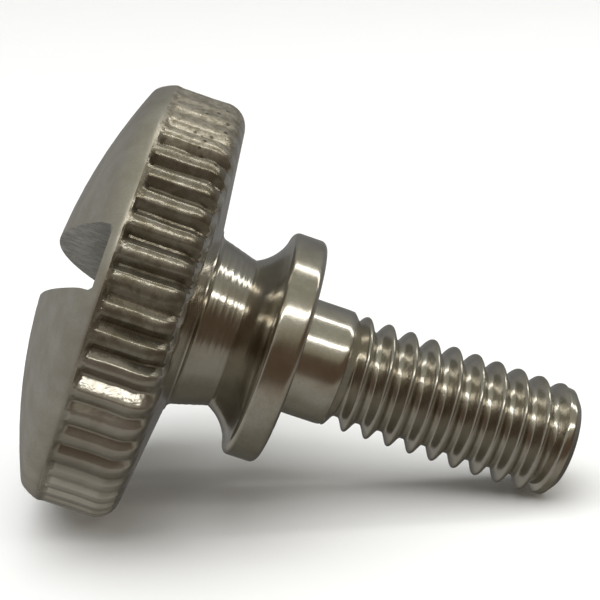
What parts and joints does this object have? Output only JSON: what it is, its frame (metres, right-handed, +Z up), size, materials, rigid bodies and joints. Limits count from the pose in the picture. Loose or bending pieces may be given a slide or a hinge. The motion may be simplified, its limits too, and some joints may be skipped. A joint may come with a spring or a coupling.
{
  "type": "thumb screw",
  "caption": "Turned thumb screw: knurled domed head with a coin slot, waisted neck, clamping collar, short plain shank and a right-hand thread.",
  "frame": {"origin": "centre of the bounding box on the table that the screw lies on", "axes": "+Z up; +X from the head to the end of the thread, along the longest extent; the screw's axis lies in the XZ plane and dips 20.5 degrees towards +X"},
  "size_m": [0.0302, 0.023, 0.0227],
  "materials": {
    "plated_metal": "satin, warm grey"
  },
  "bodies": {
    "root": {"thumb_screw": "plated_metal"}
  },
  "joints": []
}
